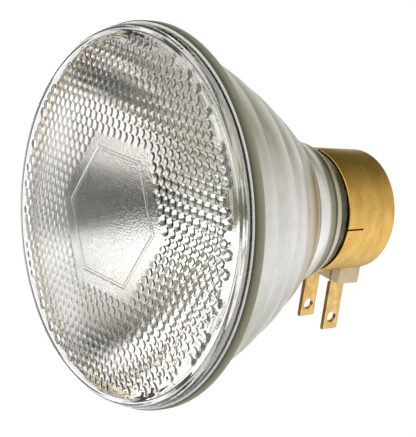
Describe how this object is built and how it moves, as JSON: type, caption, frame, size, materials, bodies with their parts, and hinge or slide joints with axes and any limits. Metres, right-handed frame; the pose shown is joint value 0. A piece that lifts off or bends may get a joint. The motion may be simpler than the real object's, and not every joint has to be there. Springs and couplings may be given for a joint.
{
  "type": "par reflector lamp with side-prong base",
  "caption": "Reflector spotlight bulb with a beaded clear glass lens, silvered glass bowl, brass base shell and folded side prongs.",
  "frame": {"origin": "centre of the flat back of the brass base, on which the lamp stands", "axes": "+Z along the lamp's axis from base to lens, prongs toward -Y, prongs side by side along X"},
  "size_m": [0.1224, 0.1224, 0.1049],
  "materials": {
    "lens_glass": "clear pressed borosilicate glass, polished outside, beaded inside",
    "silvered_glass": "pressed glass, aluminised inside, satin silver from outside, clear at the neck",
    "shell_brass": "satin drawn brass with fine circumferential grain",
    "insulator": "matt moulded beige insulator",
    "prong_brass": "lightly scuffed sheet brass",
    "mount_metal": "nickel-iron wire and ferrules",
    "filament": "tungsten coil"
  },
  "bodies": {
    "root": {"lens": "lens_glass", "reflector_bowl": "silvered_glass", "base_shell": "shell_brass", "insulator_block": "insulator", "prong_left": "prong_brass", "prong_right": "prong_brass", "ferrule_left": "mount_metal", "ferrule_right": "mount_metal", "lead_left": "mount_metal", "lead_right": "mount_metal", "base_wire_left": "mount_metal", "base_wire_right": "mount_metal", "filament_coil": "filament"}
  },
  "joints": []
}
